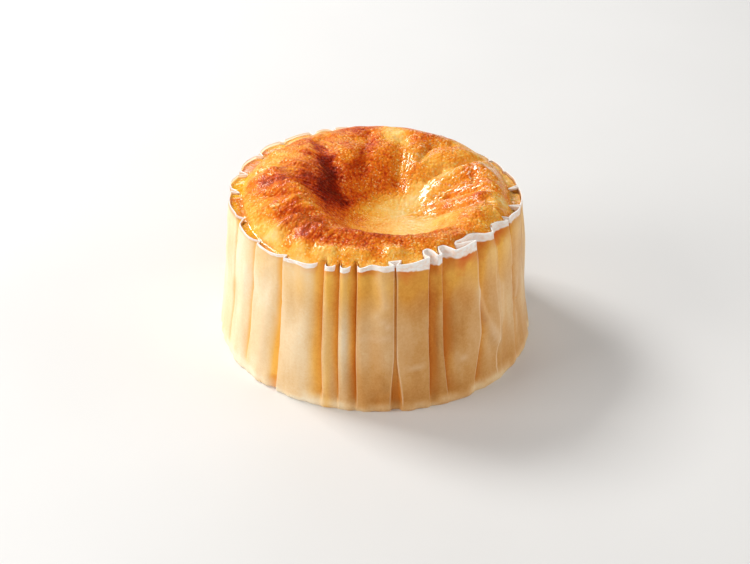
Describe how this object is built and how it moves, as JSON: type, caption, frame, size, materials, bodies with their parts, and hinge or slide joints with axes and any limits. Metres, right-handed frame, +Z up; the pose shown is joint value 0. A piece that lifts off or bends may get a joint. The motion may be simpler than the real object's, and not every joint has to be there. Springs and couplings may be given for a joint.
{
  "type": "basque burnt cheesecake",
  "caption": "Small round burnt cheesecake with a sunken, browned top, in the pleated paper case it was baked in.",
  "frame": {"origin": "on the table, under the middle of the paper case", "axes": "+Z up; -Y is the front, where the narrow pleats stand close together"},
  "size_m": [0.0816, 0.0814, 0.045],
  "materials": {
    "burnt_crust": "satin",
    "baking_paper": "satin"
  },
  "bodies": {
    "root": {"cake": "burnt_crust", "paper_case": "baking_paper"}
  },
  "joints": []
}
